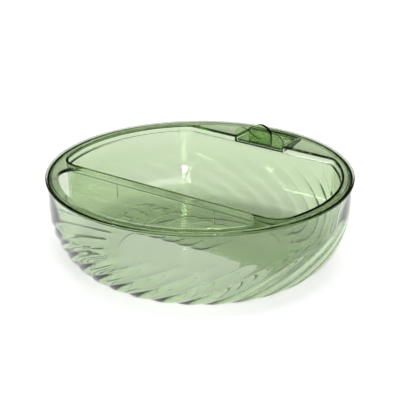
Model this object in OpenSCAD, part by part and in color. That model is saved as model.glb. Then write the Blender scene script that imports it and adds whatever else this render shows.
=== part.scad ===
// Round snack server: a fluted outer bowl, a lift-out serving tray with one deep
// compartment and one open mouth, and a flip-up phone rest clipped into the tray.
// Millimetres, +Z up. The origin is the centre of the foot, on the table.
// The straight walls run along X. The open mouth is at -Y and the phone rest at +Y.

/* [Overall] */
// Outside diameter of the tray rim
rim_d = 250; // [240:1:262]
// Height of the tray rim above the table
rim_h = 75; // [72:0.5:82]
// Thickness of the tray's flat rim and deck
plate_t = 2.7; // [2.4:0.1:3.2]

/* [Outer bowl] */
// Radius of the flat foot
foot_r = 76; // [66:1:82]
// How far the tray rim stands out past the bowl
rim_overhang = 1.8; // [1.5:0.1:3]
// Wall thickness of the plain band below the rim
band_wall = 2; // [1.8:0.1:2.2]
// Height of the plain band below the rim
band_h = 18.5; // [14:0.5:24]
// Height from the table at which the wall starts to curve in
bend_h = 45.5; // [42:0.5:50]
// Wall thickness lower down, at the crest of a flute
flute_wall = 3.4; // [3.2:0.1:4]
// Number of spiral flutes
flute_count = 30; // [24:1:32]
// Depth of the valleys between flutes
flute_depth = 1.2; // [0.8:0.1:2]
// Degrees that a flute turns for each millimetre of height
flute_turn = 0.92; // [0:0.02:1.2]
// Angle of a valley at the foot, in degrees
flute_start = 2.5; // [0:0.5:12]

/* [Serving tray] */
// Width of the flat rim around the compartments
land_w = 10.6; // [9.5:0.1:12]
// Distance from the centre to the divider, towards the open mouth
divider_y = 47.5; // [40:0.5:56]
// Distance from the centre to the edge of the phone deck
deck_y = 87.9; // [84:0.1:90]
// Depth of the deep compartment
basin_depth = 53; // [46:0.5:54]
// Wall thickness of the deep compartment
basin_wall = 2.2; // [1.8:0.1:2.4]
// Depth of the shoulder below the compartment's edge
shoulder_depth = 6; // [5:0.5:8]
// How far the wall steps in at the shoulder
shoulder_step = 1; // [0.5:0.1:1.5]
// Depth at which the wall starts to curve into the floor
wall_depth = 32; // [26:0.5:34]
// Corner radius beside the divider
divider_corner_r = 19; // [14:0.5:24]
// Corner radius beside the phone deck
deck_corner_r = 9; // [6:0.5:14]
// Corner radius of the open mouth
mouth_corner_r = 14; // [8:0.5:18]

/* [Phone rest] */
// Width of the clip-in holder
holder_w = 49.5; // [44:0.5:54]
// Depth of the holder from front to back
holder_l = 29.5; // [26:0.5:29.5]
// Height of the holder's box
holder_h = 6; // [5:0.5:6]
// Height of the two waves of the front stop above the deck
wave_h = 8.5; // [6:0.5:12]
// Height of the dip between the waves above the deck
dip_h = 1.5; // [1:0.5:4]
// Width of the finger tab
tab_w = 22; // [16:0.5:26]
// Height of the finger tab above the deck
tab_h = 13.5; // [12:0.5:18]
// Radius of the hinge pin
pin_r = 0.9; // [0.8:0.05:1]

/* [Hidden] */

green = [0.62, 0.78, 0.48, 0.6];
deep_green = [0.38, 0.62, 0.25, 0.8];

rim_r = rim_d / 2;
seat_z = rim_h - plate_t;
past = 1;

// Outer bowl
bowl_r = rim_r - rim_overhang;
band_lean = 0.6;
bend_r = bowl_r - band_lean;
round_out = 2.92;
round_down = 1.48;
flute_top = seat_z - band_h;
flute_full = 34;
flute_steps = 4;
bend_steps = 11;
foot_recess_r = foot_r - 7;
foot_recess_h = 0.8;
floor_t = 3;

// Serving tray
basin_r = rim_r - land_w;
edge_round = 1.1;
draft = 1;
curve_in = 20;
curve_down = basin_depth - wall_depth;
locator_w = 1;
locator_h = 1.6;
locator_gap = 0.5;
divider_t = basin_wall + 0.2;

// Phone rest
holder_front = deck_y;
holder_back = holder_front + holder_l;
holder_z = rim_h - holder_h;
holder_wall = 1.5;
holder_floor = 1;
holder_gap = 0.15;
tongue = 0.7;
tongue_l = 14;
tongue_h = 1;
groove_gap = 0.05;
plate_gap = 0.45;
plate_thick = 1.6;
knuckle_r = 1.7;
pin_gap = 0.06;
tab_t = 3.2;
wave_x = 17;
recess_w = holder_w - 2 * holder_wall;
plate_w = recess_w - 2 * plate_gap;
plate_z = holder_z + holder_floor + 0.4;
pin_y = holder_back - holder_wall - plate_gap - knuckle_r;
pin_z = holder_z + holder_floor + 0.3 + knuckle_r;
plate_front = holder_front + holder_wall + plate_gap;

// Points along an arc, both ends included
function arc(cx, cy, r, a0, a1, n) =
    [for (i = [0 : n]) let (a = a0 + (a1 - a0) * i / n) [cx + r * cos(a), cy + r * sin(a)]];

// The same arc without its two ends
function inner_arc(cx, cy, r, a0, a1, n) =
    [for (i = [1 : n - 1]) let (a = a0 + (a1 - a0) * i / n) [cx + r * cos(a), cy + r * sin(a)]];

// Centre of a corner of radius rc that touches the circle ra from inside
function corner_x(ra, rc, y) = sqrt(pow(ra - rc, 2) - y * y);

function at_height(outline, z) = [for (p = outline) [p.x, p.y, z]];
function mirrored(outline) = [for (i = [len(outline) - 1 : -1 : 0]) [-outline[i].x, outline[i].y]];
function smooth(t) = let (s = min(max(t, 0), 1)) s * s * (3 - 2 * s);

// A closed solid through a stack of rings, from the lowest to the highest
module skin(rings) {
    n = len(rings[0]);
    top = len(rings) - 1;
    points = [for (ring = rings, p = ring) p];
    sides = [
        for (k = [0 : top - 1], i = [0 : n - 1])
            let (a = k * n + i, b = k * n + (i + 1) % n)
                each [[a, a + n, b + n], [a, b + n, b]]
    ];
    caps = [[for (i = [0 : n - 1]) i], [for (i = [n - 1 : -1 : 0]) top * n + i]];
    polyhedron(points = points, faces = concat(sides, caps), convexity = 8);
}

// ---- outer bowl ----

// Profile of the bowl: its bend from the foot to the straight band, as [radius, height]
function bend(a) = [
    foot_r + (bend_r - foot_r) * pow(cos(a), 2 / round_out),
    bend_h * (1 - pow(sin(a), 2 / round_down))
];
function band(z) = [bend_r + (bowl_r - bend_r) * (z - bend_h) / (seat_z - bend_h), z];

bend_angles = [for (i = [0 : bend_steps]) 90 * (1 - i / bend_steps)];
band_heights = [(bend_h + flute_top) / 2, flute_top, seat_z];
bowl_profile = concat([for (a = bend_angles) bend(a)], [for (z = band_heights) band(z)]);

// Outward normal of the profile at one of its points
function profile_normal(i) =
    let (
        last = len(bowl_profile) - 1,
        d = bowl_profile[min(i + 1, last)] - bowl_profile[max(i - 1, 0)],
        size = norm(d)
    )
    [d.y / size, -d.x / size];

// Depth of the valleys at a point of the profile: none at the foot and in the band
function valley(p) =
    flute_depth * smooth((flute_top - p.y) / (flute_top - flute_full)) * smooth((p.x - foot_r) / 12);

function bowl_ring(i) =
    let (p = bowl_profile[i], n = profile_normal(i), count = flute_count * flute_steps)
    [
        for (j = [0 : count - 1])
            let (
                dip = valley(p) * (1 - abs(sin(180 * j / flute_steps))),
                r = p.x - n.x * dip,
                a = flute_start + 360 * j / count + flute_turn * p.y
            )
            [r * cos(a), r * sin(a), p.y - n.y * dip]
    ];

// Wall thickness at a height: thin in the plain band, thicker behind the flutes
function wall_at(z) = band_wall + (flute_wall - band_wall) * smooth((seat_z - z) / (seat_z - flute_full));

inner_profile = [
    for (i = [1 : len(bowl_profile) - 1])
        let (p = bowl_profile[i] - wall_at(bowl_profile[i].y) * profile_normal(i))
        if (p.y > floor_t) p
];

module outer_bowl() {
    color(green)
        difference() {
            skin([for (i = [0 : len(bowl_profile) - 1]) bowl_ring(i)]);
            rotate_extrude($fn = 180)
                polygon(concat(
                    [[0, seat_z + past], [0, floor_t], [foot_r, floor_t]],
                    inner_profile,
                    [[bowl_r - band_wall, seat_z + past]]
                ));
            translate([0, 0, -past])
                cylinder(r = foot_recess_r, h = past + foot_recess_h, $fn = 180);
        }
}

// ---- serving tray ----

// One half of the deep compartment's outline, moved in by inset
function basin_half(inset) =
    let (
        ra = basin_r - inset,
        r1 = max(divider_corner_r - inset, 8),
        r2 = max(deck_corner_r - inset, 5),
        y1 = -divider_y + inset + r1,
        y2 = deck_y - inset - r2,
        x1 = corner_x(ra, r1, y1),
        x2 = corner_x(ra, r2, y2),
        a1 = atan2(y1, x1),
        a2 = atan2(y2, x2)
    )
    concat(arc(x1, y1, r1, -90, a1, 7), inner_arc(0, 0, ra, a1, a2, 18), arc(x2, y2, r2, a2, 90, 5));

function basin_outline(inset) = concat(basin_half(inset), mirrored(basin_half(inset)));

// Rings of the compartment, grown outwards by the wall thickness t, up to the height top
function basin_rings(t, top) = concat(
    [
        for (a = [90 : -12.857 : 0])
            let (
                inset = shoulder_step + draft + curve_in - (curve_in + t) * cos(a),
                depth = wall_depth + (curve_down + t) * sin(a)
            )
            at_height(basin_outline(inset), rim_h - depth)
    ],
    [
        at_height(basin_outline(shoulder_step - t), rim_h - shoulder_depth - shoulder_step),
        at_height(basin_outline(-t), rim_h - shoulder_depth),
        at_height(basin_outline(-t), top)
    ]
);

// The open mouth between the divider and the rim
module mouth() {
    yc = -divider_y - divider_t - mouth_corner_r;
    xc = corner_x(basin_r, mouth_corner_r, yc);
    ac = atan2(yc, xc);
    translate([0, 0, seat_z - past])
        linear_extrude(plate_t + 2 * past)
            polygon(concat(
                arc(xc, yc, mouth_corner_r, 90, ac, 8),
                inner_arc(0, 0, basin_r, ac, -180 - ac, 48),
                arc(-xc, yc, mouth_corner_r, -180 - ac, -270, 8)
            ));
}

module rim_disc() {
    rotate_extrude($fn = 180)
        polygon(concat(
            [[0, seat_z]],
            arc(rim_r - edge_round, seat_z + edge_round, edge_round, -90, 0, 3),
            arc(rim_r - edge_round, rim_h - edge_round, edge_round, 0, 90, 3),
            [[0, rim_h]]
        ));
}

// A short ring under the rim that centres the tray in the bowl
module locator() {
    r = bowl_r - band_wall - locator_gap;
    translate([0, 0, seat_z - locator_h])
        difference() {
            cylinder(r = r, h = locator_h + past, $fn = 180);
            translate([0, 0, -past])
                cylinder(r = r - locator_w, h = locator_h + 3 * past, $fn = 180);
        }
}

module holder_cutout() {
    w = holder_w + 2 * holder_gap;
    translate([-w / 2, holder_front - past, holder_z])
        cube([w, holder_l + past + holder_gap, holder_h + past]);
    groove = tongue + groove_gap;
    translate([-w / 2 - groove, holder_front + holder_l / 2 - tongue_l / 2, rim_h - plate_t / 2])
        translate([0, -groove_gap, -tongue_h / 2 - groove_gap])
            cube([w + 2 * groove, tongue_l + 2 * groove_gap, tongue_h + 2 * groove_gap]);
}

module serving_tray() {
    color(green)
        difference() {
            union() {
                rim_disc();
                locator();
                skin(basin_rings(basin_wall, seat_z + plate_t / 2));
            }
            skin(basin_rings(0, rim_h + past));
            mouth();
            holder_cutout();
        }
}

// ---- phone rest ----

// Half of the front stop's outline: one wave, round outside and flowing into the dip
wave_r = holder_w / 2 - wave_x;
function wave_half() = concat(
    [for (t = [0 : 0.125 : 0.875]) [wave_x * t, dip_h + (wave_h - dip_h) * (1 - cos(180 * t)) / 2]],
    [for (a = [90 : -11.25 : 0]) [wave_x + wave_r * cos(a), wave_h * sin(a)]]
);

module front_stop() {
    half = wave_half();
    translate([0, holder_front + holder_wall, rim_h])
        rotate([90, 0, 0])
            linear_extrude(holder_wall)
                polygon(concat(
                    [[0, -past]],
                    [[holder_w / 2, -past]],
                    [for (i = [len(half) - 1 : -1 : 0]) half[i]],
                    [for (i = [1 : len(half) - 1]) [-half[i].x, half[i].y]],
                    [[-holder_w / 2, -past]]
                ));
}

module phone_holder() {
    color(deep_green)
        difference() {
            union() {
                translate([-holder_w / 2, holder_front, holder_z])
                    difference() {
                        cube([holder_w, holder_l, holder_h]);
                        translate([holder_wall, holder_wall, holder_floor])
                            cube([recess_w, holder_l - 2 * holder_wall, holder_h]);
                    }
                front_stop();
                for (side = [-1, 1])
                    translate([side * (holder_w + tongue) / 2, holder_front + holder_l / 2, rim_h - plate_t / 2])
                        cube([tongue, tongue_l, tongue_h], center = true);
            }
            translate([-holder_w / 2 - past, pin_y, pin_z])
                rotate([0, 90, 0])
                    cylinder(r = pin_r, h = holder_w + 2 * past, $fn = 32);
        }
}

module finger_tab() {
    post_h = rim_h + tab_h - tab_w / 2 - plate_z;
    translate([0, plate_front + tab_t, plate_z])
        rotate([90, 0, 0])
            linear_extrude(tab_t)
                union() {
                    translate([-tab_w / 2, 0])
                        square([tab_w, post_h]);
                    intersection() {
                        translate([0, post_h])
                            circle(r = tab_w / 2, $fn = 96);
                        translate([-tab_w, post_h / 2])
                            square([2 * tab_w, post_h + tab_w]);
                    }
                }
}

module rest_plate() {
    color(deep_green)
        difference() {
            union() {
                translate([-plate_w / 2, plate_front, plate_z])
                    cube([plate_w, pin_y - plate_front, plate_thick]);
                translate([-plate_w / 2, pin_y, pin_z])
                    rotate([0, 90, 0])
                        cylinder(r = knuckle_r, h = plate_w, $fn = 48);
                finger_tab();
            }
            translate([-plate_w / 2 - past, pin_y, pin_z])
                rotate([0, 90, 0])
                    cylinder(r = pin_r + pin_gap, h = plate_w + 2 * past, $fn = 32);
        }
}

module hinge_pin() {
    color(deep_green)
        translate([-holder_w / 2, pin_y, pin_z])
            rotate([0, 90, 0])
                cylinder(r = pin_r, h = holder_w, $fn = 32);
}

outer_bowl();
serving_tray();
phone_holder();
rest_plate();
hinge_pin();
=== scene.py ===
"""A two-layer snack server in clear green plastic: a fluted bowl, a lift-out tray and a phone rest."""
import math

import bmesh
import bpy
import numpy as np
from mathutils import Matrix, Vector


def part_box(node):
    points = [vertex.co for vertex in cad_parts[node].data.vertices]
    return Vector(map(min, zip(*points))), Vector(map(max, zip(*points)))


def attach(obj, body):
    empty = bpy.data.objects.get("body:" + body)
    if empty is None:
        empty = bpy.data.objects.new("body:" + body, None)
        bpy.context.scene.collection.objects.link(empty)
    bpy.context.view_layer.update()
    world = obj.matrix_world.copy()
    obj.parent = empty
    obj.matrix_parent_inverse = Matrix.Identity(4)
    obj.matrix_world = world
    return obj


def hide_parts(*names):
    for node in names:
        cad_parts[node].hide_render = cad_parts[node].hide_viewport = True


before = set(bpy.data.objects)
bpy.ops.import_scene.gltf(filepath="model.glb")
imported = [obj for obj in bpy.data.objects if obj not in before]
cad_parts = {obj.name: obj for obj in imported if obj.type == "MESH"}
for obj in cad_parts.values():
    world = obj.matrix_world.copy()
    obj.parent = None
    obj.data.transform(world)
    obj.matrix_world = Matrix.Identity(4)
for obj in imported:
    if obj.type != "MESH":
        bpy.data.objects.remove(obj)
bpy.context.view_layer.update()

MM = 0.001

# ---- driving sizes, in metres, from the CAD frame where it holds them ----
tray_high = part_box("serving_tray")[1]
bowl_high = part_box("outer_bowl")[1]
holder_low, holder_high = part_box("phone_holder")
RIM_R = tray_high.x
RIM_H = tray_high.z
SEAT_H = bowl_high.z
BOWL_R = bowl_high.x

# Outer bowl
FOOT_R = 76 * MM
FOOT_RECESS_R = 69 * MM
FOOT_RECESS_H = 0.8 * MM
FOOT_FADE = 12 * MM
FLOOR_T = 3 * MM
HUB_R = 20 * MM
CREST_ROUND = 0.6 * MM
CREST_DROP = 0.8 * MM
BEND_H = 45.5 * MM
BEND_R = BOWL_R - 0.6 * MM
ROUND_OUT = 2.92
ROUND_DOWN = 1.48
BAND_H = 18.5 * MM
BAND_WALL = 2 * MM
FLUTE_WALL = 3.4 * MM
FLUTES = 30
FLUTE_STEPS = 16
FLUTE_DEPTH = 1.2 * MM
FLUTE_TURN = math.radians(0.92) / MM
FLUTE_START = math.radians(2.5)
FLUTE_TOP = SEAT_H - BAND_H
FLUTE_FULL = 34 * MM

# Serving tray
BASIN_R = RIM_R - 10.6 * MM
DIVIDER_Y = 47.5 * MM
DECK_Y = holder_low.y
BASIN_WALL = 2.2 * MM
DIVIDER_T = 2.4 * MM
BASIN_DEPTH = 53 * MM
WALL_DEPTH = 32 * MM
SHOULDER_DEPTH = 6 * MM
SHOULDER_STEP = 1 * MM
DRAFT = 1 * MM
CURVE_IN = 20 * MM
DIVIDER_CORNER_R = 19 * MM
DECK_CORNER_R = 9 * MM
MOUTH_CORNER_R = 14 * MM
LOCATOR_R = BOWL_R - BAND_WALL - 0.5 * MM
LOCATOR_W = 1 * MM
LOCATOR_H = 1.6 * MM
LOCATOR_ROUND = 0.3 * MM
RIM_STEPS = 360
RIM_ROUND = 1.1 * MM
LIP_ROUND = 0.8 * MM

# Ribs on the tray
RIBS = range(-6, 2)
RIB_PITCH = 14 * MM
RIB_START = 4.7 * MM
RIB_SWEEP = 70 * MM
RIB_REACH = 72 * MM
RIB_HIGH = 16.5 * MM
RIB_LOW = 50 * MM
RIB_R = 1.0 * MM
WITNESS_R = 0.45 * MM
WITNESS_DROP = 18.5 * MM
WITNESS_TOP = 3 * MM
WITNESS_X = 47.6 * MM
WITNESS_ANGLE = math.radians(135)

# Phone rest
HOLDER_HALF_W = 24.75 * MM
NOTCH_GAP = 0.15 * MM
WELD_REACH = 0.002 * MM
SOFT_EDGES = {"phone_holder": 0.7 * MM, "rest_plate": 0.7 * MM, "hinge_pin": 0.2 * MM}

# The view: the camera looks at a point a little below the rim's centre
VIEW_AZIMUTH = 35.29
VIEW_ELEVATION = 22.77
VIEW_DISTANCE = 7.971 * RIM_R
VIEW_DROP = 0.1896 * RIM_R
LENS = 110.5

# The light: brightness of the surroundings by elevation in degrees, then the two window lamps
# as name, azimuth, elevation, distance, width, height and power
SKY = ((-90, 0.01), (0, 0.01), (58, 0.01), (70, 1.0), (90, 1.0))
SKY_STRENGTH = 2.4
FLOOR_GLOW = 0.62
FLOOR_REACH = 6.0
FLOOR_DROP = 0.2 * MM
LAMPS = (
    ("tall_window", 48, 30, 1.8, 0.2, 1.0, 9),
    ("wide_window", -26, 5, 1.8, 0.2, 0.16, 2.5),
)

# How fast red, green and blue fade in each plastic, per metre
BOWL_TINT = (82, 53, 108)
TRAY_TINT = (118, 76, 166)
REST_TINT = (190, 100, 280)
PLASTIC_IOR = 1.49
RIPPLE = 0.02


# ---- mesh helpers ----
def arc(cx, cy, r, start, end, steps):
    """Points along an arc, both ends included."""
    a = np.linspace(start, end, steps + 1)
    return np.column_stack([cx + r * np.cos(a), cy + r * np.sin(a)])


def line(start, end, steps):
    """Points along a straight line, both ends included."""
    return np.linspace(start, end, steps + 1)


def smooth_step(t):
    t = np.clip(t, 0, 1)
    return t * t * (3 - 2 * t)


def at_height(outline, z):
    """An outline as points in space, all at one height."""
    return np.column_stack([outline, np.full(len(outline), z)])


def skin_faces(first, second, count):
    """Quads between two closed rings that start at these vertex numbers."""
    return [
        (first + i, first + (i + 1) % count, second + (i + 1) % count, second + i)
        for i in range(count)
    ]


class Shell:
    """Collects rings of points and the faces between them."""

    def __init__(self):
        self.points = []
        self.faces = []
        self.count = 0

    def ring(self, points):
        start = self.count
        self.points.append(np.asarray(points, float))
        self.count += len(points)
        return start

    def loft(self, rings):
        """Rings of equal length, joined in turn. Returns the first and the last ring's start."""
        starts = [self.ring(r) for r in rings]
        size = len(rings[0])
        for a, b in zip(starts, starts[1:]):
            self.faces += skin_faces(a, b, size)
        return starts[0], starts[-1]

    def fan(self, start, size, centre):
        """Closes a ring to a point in its middle."""
        pole = self.ring([centre])
        self.faces += [(start + i, start + (i + 1) % size, pole) for i in range(size)]

    def fill(self, loops):
        """Fills the flat space between loops, each given as a start and a size."""
        bm = bmesh.new()
        flat = np.concatenate(self.points)
        made = {}
        for start, size in loops:
            for i in range(start, start + size):
                made[i] = bm.verts.new(flat[i])
        number = {v: i for i, v in made.items()}
        edges = [bm.edges.new((made[s + i], made[s + (i + 1) % n])) for s, n in loops for i in range(n)]
        bmesh.ops.triangle_fill(bm, use_beauty=True, use_dissolve=False, edges=edges)
        self.faces += [tuple(number[v] for v in f.verts) for f in bm.faces]
        bm.free()

    def build(self, name, sharp=35):
        mesh = bpy.data.meshes.new(name)
        mesh.from_pydata(np.concatenate(self.points).tolist(), [], self.faces)
        bm = bmesh.new()
        bm.from_mesh(mesh)
        bmesh.ops.remove_doubles(bm, verts=bm.verts, dist=1e-7)
        bmesh.ops.recalc_face_normals(bm, faces=bm.faces)
        bm.to_mesh(mesh)
        bm.free()
        finish_mesh(mesh, sharp)
        piece = bpy.data.objects.new(name, mesh)
        bpy.context.scene.collection.objects.link(piece)
        return piece


def finish_mesh(mesh, sharp):
    """Smooth shading, with edges past the sharp angle kept crisp."""
    mesh.shade_smooth()
    mesh.set_sharp_from_angle(angle=math.radians(sharp))


def tube(path, r, sides=10):
    """A closed thin tube along a path, tapering to its ends."""
    path = [Vector(p) for p in path]
    shell = Shell()
    rings = []
    for i, p in enumerate(path):
        ahead = (path[min(i + 1, len(path) - 1)] - path[max(i - 1, 0)]).normalized()
        side = ahead.cross(Vector((0.13, 0.31, 1))).normalized()
        up = side.cross(ahead)
        taper = r * (0.4 if i in (0, len(path) - 1) else 1)
        angles = [2 * math.pi * k / sides for k in range(sides)]
        rings.append([p + taper * (math.cos(a) * side + math.sin(a) * up) for a in angles])
    first, last = shell.loft(rings)
    shell.faces += [tuple(range(first, first + sides)), tuple(range(last, last + sides))]
    return shell.build("rib", 60)


def fuse(piece, extras):
    """Unites each extra in turn with the piece, into one closed skin."""
    for extra in extras:
        add = piece.modifiers.new("join", "BOOLEAN")
        add.operation = "UNION"
        add.solver = "EXACT"
        add.object = extra
    apply_modifiers(piece)
    for extra in extras:
        bpy.data.objects.remove(extra)


def combined(pieces):
    """One object that holds every piece's mesh."""
    bm = bmesh.new()
    for piece in pieces:
        bm.from_mesh(piece.data)
        bpy.data.objects.remove(piece)
    mesh = bpy.data.meshes.new("ribs")
    bm.to_mesh(mesh)
    bm.free()
    ribs = bpy.data.objects.new("ribs", mesh)
    bpy.context.scene.collection.objects.link(ribs)
    return ribs


# ---- outer bowl ----
def bowl_bend(a):
    """The profile from the foot (a is a right angle) up to the band (a is zero), as radius and height."""
    r = FOOT_R + (BEND_R - FOOT_R) * np.cos(a) ** (2 / ROUND_OUT)
    z = BEND_H * (1 - np.sin(a) ** (2 / ROUND_DOWN))
    return np.column_stack([r, z])


def bowl_profile():
    bend = bowl_bend(np.linspace(math.pi / 2, 0, 70))
    z = np.linspace(BEND_H, SEAT_H, 24)[1:]
    r = BEND_R + (BOWL_R - BEND_R) * (z - BEND_H) / (SEAT_H - BEND_H)
    return np.concatenate([bend, np.column_stack([r, z])])


def profile_normals(profile):
    d = np.gradient(profile, axis=0)
    n = np.column_stack([d[:, 1], -d[:, 0]])
    return n / np.linalg.norm(n, axis=1, keepdims=True)


def bowl_ring(r, z, dip=0.0, normal=(1.0, 0.0)):
    """A ring of the bowl, its valleys dip deep along the profile's normal."""
    count = FLUTES * FLUTE_STEPS
    j = np.arange(count)
    depth = dip * (1 - np.abs(np.sin(math.pi * j / FLUTE_STEPS)))
    a = FLUTE_START + 2 * math.pi * j / count + FLUTE_TURN * z
    radius = r - normal[0] * depth
    return np.column_stack([radius * np.cos(a), radius * np.sin(a), z - normal[1] * depth])


def make_bowl():
    profile = bowl_profile()
    normals = profile_normals(profile)
    r, z = profile.T
    fade_up = smooth_step((FLUTE_TOP - z) / (FLUTE_TOP - FLUTE_FULL))
    dips = FLUTE_DEPTH * fade_up * smooth_step((r - FOOT_R) / FOOT_FADE)
    wall = BAND_WALL + (FLUTE_WALL - BAND_WALL) * smooth_step((SEAT_H - z) / (SEAT_H - FLUTE_FULL))
    inner = profile - wall[:, None] * normals
    inner = inner[inner[:, 1] > FLOOR_T]
    inner_floor = [(rr, FLOOR_T) for rr in np.linspace(inner[0, 0], HUB_R, 6)[1:]]

    underside = ((HUB_R, FOOT_RECESS_H), (FOOT_RECESS_R, FOOT_RECESS_H), (FOOT_RECESS_R, 0))
    rings = [bowl_ring(rr, zz) for rr, zz in underside]
    rings += [bowl_ring(p[0], p[1], dip, n) for p, dip, n in zip(profile[:-1], dips[:-1], normals[:-1])]
    half = BAND_WALL / 2
    mid = BOWL_R - half
    for a in np.linspace(0, math.pi, 9):
        rings.append(bowl_ring(mid + half * math.cos(a), SEAT_H - CREST_ROUND + CREST_ROUND * math.sin(a)))
    rings += [bowl_ring(p[0], p[1]) for p in inner[::-1] if p[1] < SEAT_H - CREST_DROP]
    rings += [bowl_ring(rr, zz) for rr, zz in inner_floor]
    shell = Shell()
    first, last = shell.loft(rings)
    size = len(rings[0])
    shell.fan(first, size, (0, 0, FOOT_RECESS_H))
    shell.fan(last, size, (0, 0, FLOOR_T))
    return shell.build("bowl_shell")


# ---- serving tray ----
def corner_x(ra, rc, y):
    """The x of the middle of a corner arc of radius rc, at this y, that touches the arc ra from inside."""
    return math.sqrt((ra - rc) ** 2 - y * y)


def mirrored(outline):
    """The left half that belongs to a right half, run the other way."""
    return outline[::-1] * np.array([-1, 1])


def basin_outline(inset):
    """The deep compartment's outline, moved in by inset: round corners, rim arc and straight walls."""
    ra = BASIN_R - inset
    r1 = max(DIVIDER_CORNER_R - inset, 8 * MM)
    r2 = max(DECK_CORNER_R - inset, 5 * MM)
    y1 = -DIVIDER_Y + inset + r1
    y2 = DECK_Y - inset - r2
    x1, x2 = corner_x(ra, r1, y1), corner_x(ra, r2, y2)
    a1, a2 = math.atan2(y1, x1), math.atan2(y2, x2)
    half = np.concatenate([
        line((0, y1 - r1), (x1, y1 - r1), 70)[:-1],
        arc(x1, y1, r1, -math.pi / 2, a1, 24),
        arc(0, 0, ra, a1, a2, 120)[1:-1],
        arc(x2, y2, r2, a2, math.pi / 2, 14),
        line((x2, y2 + r2), (0, y2 + r2), 50)[1:],
    ])
    return np.concatenate([half, mirrored(half)[1:-1]])


def mouth_outline(grow):
    """The open mouth's outline, moved out by grow."""
    rc = MOUTH_CORNER_R + grow
    ra = BASIN_R + grow
    y = -DIVIDER_Y - DIVIDER_T - MOUTH_CORNER_R
    x = corner_x(ra, rc, y)
    a = math.atan2(y, x)
    half = np.concatenate([arc(x, y, rc, math.pi / 2, a, 20), arc(0, 0, ra, a, -math.pi / 2, 80)[1:]])
    return np.concatenate([half, mirrored(half)[1:]])


def basin_wall_rings(t):
    """Rings of the compartment below its top edge, grown out by the wall's thickness t, from the floor up."""
    places = []
    for a in np.linspace(math.pi / 2, 0, 31):
        inset = SHOULDER_STEP + DRAFT + CURVE_IN - (CURVE_IN + t) * math.cos(a)
        places.append((inset, WALL_DEPTH + (BASIN_DEPTH - WALL_DEPTH + t) * math.sin(a)))
    top, low = SHOULDER_DEPTH + SHOULDER_STEP, WALL_DEPTH
    for s in np.linspace(0, 1, 26)[1:]:
        places.append((SHOULDER_STEP + DRAFT * (1 - s) - t, low + (top - low) * s))
    for s in np.linspace(0, 1, 6)[1:]:
        places.append((SHOULDER_STEP * (1 - smooth_step(s)) - t, top - SHOULDER_STEP * s))
    return [at_height(basin_outline(inset), RIM_H - depth) for inset, depth in places]


def circle(r, z):
    a = np.linspace(0, 2 * math.pi, RIM_STEPS, endpoint=False)
    return np.column_stack([r * np.cos(a), r * np.sin(a), np.full(RIM_STEPS, z)])


def make_tray():
    shell = Shell()
    size = len(basin_outline(0))
    centre_y = (DECK_Y - DIVIDER_Y) / 2

    # The compartment, inside and outside
    inside = basin_wall_rings(0)
    for a in np.linspace(0, math.pi / 2, 7):
        outline = basin_outline(-LIP_ROUND * (1 - math.cos(a)))
        inside.append(at_height(outline, RIM_H - LIP_ROUND * (1 - math.sin(a))))
    floor, top_edge = shell.loft(inside)
    shell.fan(floor, size, (0, centre_y, RIM_H - BASIN_DEPTH))
    outside = basin_wall_rings(BASIN_WALL)
    outside.append(at_height(basin_outline(-BASIN_WALL), SEAT_H))
    under, under_edge = shell.loft(outside)
    shell.fan(under, size, (0, centre_y, RIM_H - BASIN_DEPTH - BASIN_WALL))

    # The mouth's edge
    mouth = [at_height(mouth_outline(0), SEAT_H)]
    for a in np.linspace(0, math.pi / 2, 7):
        outline = mouth_outline(LIP_ROUND * (1 - math.cos(a)))
        mouth.append(at_height(outline, RIM_H - LIP_ROUND * (1 - math.sin(a))))
    mouth_size = len(mouth[0])
    mouth_low, mouth_top = shell.loft(mouth)

    # The rim's outer edge
    rim = []
    for start, middle in ((-math.pi / 2, SEAT_H + RIM_ROUND), (0, RIM_H - RIM_ROUND)):
        for a in np.linspace(start, start + math.pi / 2, 7):
            rim.append(circle(RIM_R - RIM_ROUND + RIM_ROUND * math.cos(a), middle + RIM_ROUND * math.sin(a)))
    rim_low, rim_top = shell.loft(rim)

    # The locating ring below the rim
    low = SEAT_H - LOCATOR_H
    ring_in, ring_out = shell.loft([
        circle(LOCATOR_R - LOCATOR_W, SEAT_H),
        circle(LOCATOR_R - LOCATOR_W, low + LOCATOR_ROUND),
        circle(LOCATOR_R - LOCATOR_W + LOCATOR_ROUND, low),
        circle(LOCATOR_R - LOCATOR_ROUND, low),
        circle(LOCATOR_R, low + LOCATOR_ROUND),
        circle(LOCATOR_R, SEAT_H),
    ])
    shell.faces += skin_faces(ring_out, rim_low, RIM_STEPS)
    shell.fill([(rim_top, RIM_STEPS), (top_edge, size), (mouth_top, mouth_size)])
    shell.fill([(ring_in, RIM_STEPS), (under_edge, size), (mouth_low, mouth_size)])
    tray = shell.build("tray_shell")
    fuse(tray, [divider_ribs(), witness_ribs()])
    cut_notch(tray)
    return tray


def divider_face(depth):
    """The y of the divider's outer face at a depth below the rim."""
    if depth < WALL_DEPTH:
        s = (WALL_DEPTH - depth) / (WALL_DEPTH - SHOULDER_DEPTH - SHOULDER_STEP)
        return -DIVIDER_Y + SHOULDER_STEP + DRAFT * (1 - s) - BASIN_WALL
    a = math.asin((depth - WALL_DEPTH) / (BASIN_DEPTH - WALL_DEPTH + BASIN_WALL))
    return -DIVIDER_Y + SHOULDER_STEP + DRAFT + CURVE_IN - (CURVE_IN + BASIN_WALL) * math.cos(a)


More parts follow.
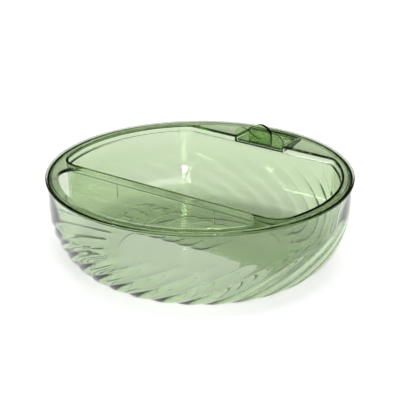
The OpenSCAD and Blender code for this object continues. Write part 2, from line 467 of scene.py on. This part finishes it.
def divider_ribs():
    """Thin slanting ribs in a row on the divider's outer face, each half a wave long."""
    ribs = []
    for k in RIBS:
        path = []
        for level in (1 - np.cos(np.linspace(0, math.pi, 25))) / 2:
            depth = RIB_LOW + (RIB_HIGH - RIB_LOW) * level
            x = RIB_START + RIB_PITCH * k + RIB_SWEEP * (0.5 + math.asin(2 * level - 1) / math.pi)
            if abs(x) < RIB_REACH:
                path.append((x, divider_face(depth), RIM_H - depth))
        ribs.append(tube(path, RIB_R))
    return combined(ribs)


def witness_ribs():
    """Thin upright moulding ribs: down the compartment's wall at the back left, and down the divider."""
    depths = np.linspace(WITNESS_TOP, WITNESS_DROP, 12)
    foot = Vector((math.cos(WITNESS_ANGLE), math.sin(WITNESS_ANGLE), 0)) * (BASIN_R - SHOULDER_STEP)
    ribs = [tube([foot + Vector((0, 0, RIM_H - d)) for d in depths], WITNESS_R)]
    for x in (-WITNESS_X, WITNESS_X):
        ribs.append(tube([(x, divider_face(d), RIM_H - d) for d in depths], WITNESS_R))
    return combined(ribs)


def cut_notch(tray):
    """Opens the deck for the phone holder."""
    lo = Vector((-HOLDER_HALF_W - NOTCH_GAP, holder_low.y - 1 * MM, holder_low.z))
    hi = Vector((HOLDER_HALF_W + NOTCH_GAP, holder_high.y + NOTCH_GAP, RIM_H + 5 * MM))
    cutter_mesh = bpy.data.meshes.new("notch")
    bm = bmesh.new()
    bmesh.ops.create_cube(bm, size=1)
    for v in bm.verts:
        v.co = Vector(((lo[i] + hi[i]) / 2 + v.co[i] * (hi[i] - lo[i]) for i in range(3)))
    bm.to_mesh(cutter_mesh)
    bm.free()
    cutter = bpy.data.objects.new("notch", cutter_mesh)
    bpy.context.scene.collection.objects.link(cutter)
    cut = tray.modifiers.new("notch", "BOOLEAN")
    cut.operation = "DIFFERENCE"
    cut.solver = "EXACT"
    cut.object = cutter
    apply_modifiers(tray)
    bpy.data.objects.remove(cutter)
    finish_mesh(tray.data, 35)


def apply_modifiers(piece):
    """Turns the piece's modifiers into its mesh."""
    graph = bpy.context.evaluated_depsgraph_get()
    mesh = bpy.data.meshes.new_from_object(piece.evaluated_get(graph))
    piece.modifiers.clear()
    piece.data = mesh


# ---- materials ----
def clear_plastic(name, absorb):
    """Clear tinted plastic. absorb is how fast red, green and blue fade inside it, per metre."""
    mat = bpy.data.materials.new(name)
    mat.use_nodes = True
    nodes, links = mat.node_tree.nodes, mat.node_tree.links
    shader = nodes["Principled BSDF"]
    shader.inputs["Base Color"].default_value = (1, 1, 1, 1)
    shader.inputs["Transmission Weight"].default_value = 1
    shader.inputs["IOR"].default_value = PLASTIC_IOR
    coords = nodes.new("ShaderNodeTexCoord")
    flow = nodes.new("ShaderNodeTexNoise")
    flow.inputs["Scale"].default_value = 60
    flow.inputs["Detail"].default_value = 3
    links.new(coords.outputs["Object"], flow.inputs["Vector"])
    gloss = nodes.new("ShaderNodeMapRange")
    gloss.inputs["To Min"].default_value = 0.0
    gloss.inputs["To Max"].default_value = 0.05
    links.new(flow.outputs["Fac"], gloss.inputs["Value"])
    links.new(gloss.outputs["Result"], shader.inputs["Roughness"])
    bump = nodes.new("ShaderNodeBump")
    bump.inputs["Strength"].default_value = RIPPLE
    bump.inputs["Distance"].default_value = 1 * MM
    links.new(flow.outputs["Fac"], bump.inputs["Height"])
    links.new(bump.outputs["Normal"], shader.inputs["Normal"])
    density = max(absorb) * 1.1
    volume = nodes.new("ShaderNodeVolumeAbsorption")
    volume.inputs["Color"].default_value = [1 - a / density for a in absorb] + [1]
    volume.inputs["Density"].default_value = density
    links.new(volume.outputs["Volume"], nodes["Material Output"].inputs["Volume"])
    return mat


def matte(name, colour, glow):
    """A dull surface that also glows a little by itself."""
    mat = bpy.data.materials.new(name)
    mat.use_nodes = True
    shader = mat.node_tree.nodes["Principled BSDF"]
    shader.inputs["Base Color"].default_value = (*colour, 1)
    shader.inputs["Roughness"].default_value = 0.9
    shader.inputs["Specular IOR Level"].default_value = 0.1
    shader.inputs["Emission Color"].default_value = (1, 1, 1, 1)
    shader.inputs["Emission Strength"].default_value = glow
    return mat


# ---- scene ----
def photo_camera():
    """The camera at the view's azimuth, elevation and distance."""
    az, el = math.radians(VIEW_AZIMUTH), math.radians(VIEW_ELEVATION)
    back = Vector((math.sin(az) * math.cos(el), -math.cos(az) * math.cos(el), math.sin(el)))
    up = Vector((-math.sin(az) * math.sin(el), math.cos(az) * math.sin(el), math.cos(el)))
    data = bpy.data.cameras.new("camera")
    data.lens = LENS
    data.sensor_width = 36
    data.clip_end = 50
    camera = bpy.data.objects.new("camera", data)
    camera.location = Vector((0, 0, RIM_H)) + VIEW_DISTANCE * back - VIEW_DROP * up
    camera.rotation_euler = back.to_track_quat("Z", "Y").to_euler()
    bpy.context.scene.collection.objects.link(camera)
    bpy.context.scene.camera = camera


def softbox(name, azimuth, elevation, distance, width, height, power):
    """A soft rectangular light aimed at the bowl."""
    az, el = math.radians(azimuth), math.radians(elevation)
    out = Vector((math.sin(az) * math.cos(el), -math.cos(az) * math.cos(el), math.sin(el)))
    data = bpy.data.lights.new(name, "AREA")
    data.shape = "RECTANGLE"
    data.size = width
    data.size_y = height
    data.energy = power
    lamp = bpy.data.objects.new(name, data)
    lamp.location = out * distance
    lamp.rotation_euler = out.to_track_quat("Z", "Y").to_euler()
    bpy.context.scene.collection.objects.link(lamp)


def studio():
    """Dark surroundings with a bright round ceiling light overhead, a pale glowing floor and two lamps."""
    world = bpy.data.worlds.new("studio")
    bpy.context.scene.world = world
    world.use_nodes = True
    nodes, links = world.node_tree.nodes, world.node_tree.links
    coords = nodes.new("ShaderNodeTexCoord")
    split = nodes.new("ShaderNodeSeparateXYZ")
    links.new(coords.outputs["Generated"], split.inputs["Vector"])
    ramp = nodes.new("ShaderNodeValToRGB")
    ramp.color_ramp.elements[0].position = 0
    ramp.color_ramp.elements[0].color = (SKY[0][1],) * 3 + (1,)
    ramp.color_ramp.elements[1].position = 1
    ramp.color_ramp.elements[1].color = (SKY[-1][1],) * 3 + (1,)
    for elevation, level in SKY[1:-1]:
        element = ramp.color_ramp.elements.new(math.sin(math.radians(elevation)))
        element.color = (level,) * 3 + (1,)
    links.new(split.outputs["Z"], ramp.inputs["Fac"])
    links.new(ramp.outputs["Color"], nodes["Background"].inputs["Color"])
    nodes["Background"].inputs["Strength"].default_value = SKY_STRENGTH
    bpy.context.scene.view_settings.view_transform = "Standard"
    mesh = bpy.data.meshes.new("floor")
    corners = [(x * FLOOR_REACH, y * FLOOR_REACH, 0) for x, y in ((-1, -1), (1, -1), (1, 1), (-1, 1))]
    mesh.from_pydata(corners, [], [(0, 1, 2, 3)])
    floor = bpy.data.objects.new("floor", mesh)
    floor.location.z = -FLOOR_DROP
    floor.data.materials.append(matte("pale_floor", (0.93, 0.93, 0.93), FLOOR_GLOW))
    bpy.context.scene.collection.objects.link(floor)
    for lamp in LAMPS:
        softbox(*lamp)


photo_camera()
studio()

bowl_green = clear_plastic("bowl_green", BOWL_TINT)
tray_green = clear_plastic("tray_green", TRAY_TINT)
rest_green = clear_plastic("rest_green", REST_TINT)

bowl = make_bowl()
bowl.data.materials.append(bowl_green)
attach(bowl, "bowl")
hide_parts("outer_bowl")

tray = make_tray()
tray.data.materials.append(tray_green)
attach(tray, "tray")
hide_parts("serving_tray")

for node, edge in SOFT_EDGES.items():
    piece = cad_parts[node]
    piece.data.materials.clear()
    piece.data.materials.append(rest_green)
    weld = piece.modifiers.new("weld", "WELD")
    weld.merge_threshold = WELD_REACH
    soften = piece.modifiers.new("soft_edges", "BEVEL")
    soften.width = edge
    soften.segments = 3
    soften.limit_method = "ANGLE"
    soften.angle_limit = math.radians(35)
    soften.harden_normals = True
